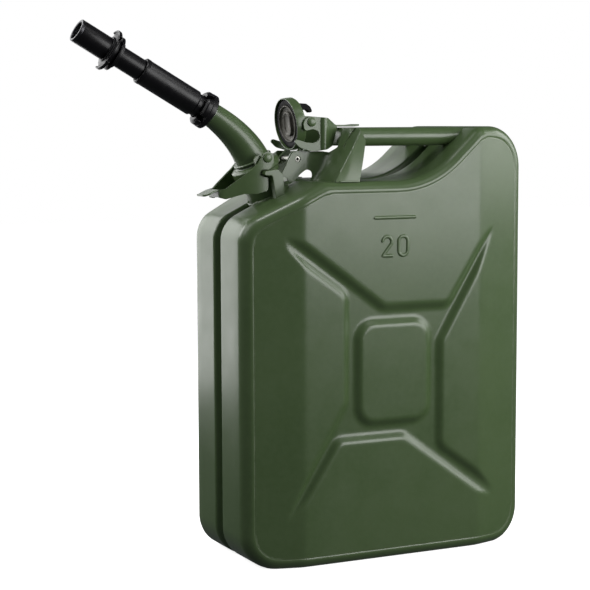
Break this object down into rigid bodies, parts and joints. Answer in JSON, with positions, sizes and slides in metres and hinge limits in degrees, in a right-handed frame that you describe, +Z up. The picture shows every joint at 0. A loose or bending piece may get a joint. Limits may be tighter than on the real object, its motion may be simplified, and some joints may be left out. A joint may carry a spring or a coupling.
{
  "type": "fuel can with pouring spout",
  "caption": "Pressed-steel fuel can with carrying handles, a lever-lock cap swung open and a pouring spout with a sprung nozzle latched onto its neck.",
  "frame": {"origin": "on the ground, under the middle of the whole object's length and width", "axes": "+Z up, -X towards the spout's nozzle, +Y towards the far broad face"},
  "size_m": [0.5069, 0.165, 0.582],
  "materials": {
    "paint": "semi-gloss olive green enamel with a light orange peel",
    "steel": "zinc-plated steel, satin",
    "cap_lining": "grey-green lining, satin",
    "rubber": "fuel-resistant black rubber",
    "nozzle_plastic": "glossy black moulded plastic",
    "tip_metal": "turned aluminium"
  },
  "bodies": {
    "can": {"shell_near": "paint", "shell_far": "paint", "seam_bead": "paint", "handle_near": "paint", "handle_far": "paint", "handle_centre": "paint", "handle_bracket": "paint", "filler_neck": "paint", "breather_tube": "steel", "neck_ear_near": "paint", "neck_ear_far": "paint", "hinge_web_near": "paint", "hinge_web_far": "paint", "hinge_pin": "steel", "spout_base": "paint", "spout_gasket": "rubber", "spout_pipe": "paint", "vent_tube": "steel", "spout_rivet_near": "paint", "spout_rivet_far": "paint", "nozzle_collar": "nozzle_plastic", "nozzle_sleeve": "nozzle_plastic"},
    "cap": {"cap_disc": "paint", "cap_gasket": "rubber", "cap_boss": "cap_lining", "cap_catch": "paint", "cap_rivet_near": "paint", "cap_rivet_far": "paint"},
    "cap_lock": {"cap_lever": "paint"},
    "spout_lock": {"spout_lever": "paint"},
    "nozzle_front": {"slide_tube": "nozzle_plastic", "hook_flange": "nozzle_plastic", "tip_tube": "nozzle_plastic", "tip_ring": "tip_metal", "tip_valve": "nozzle_plastic"}
  },
  "joints": [
    {"name": "cap_hinge", "type": "hinge", "parent": "can", "child": "cap", "pos_m": [-0.0064, 0, 0.4364], "axis": [0, -1, 0], "range_deg": [0, 25]},
    {"name": "cap_lever_hinge", "type": "hinge", "parent": "cap", "child": "cap_lock", "pos_m": [0.0062, 0, 0.4762], "axis": [0, -1, 0], "range_deg": [0, 40]},
    {"name": "spout_lever_hinge", "type": "hinge", "parent": "can", "child": "spout_lock", "pos_m": [-0.0459, 0, 0.4381], "axis": [0, 1, 0], "range_deg": [0, 45]},
    {"name": "nozzle_slide", "type": "slide", "parent": "can", "child": "nozzle_front", "axis": [0.8665, 0, -0.4992], "range_m": [0, 0.022], "stiffness_N_per_m": 300, "springref_m": -0.01}
  ]
}
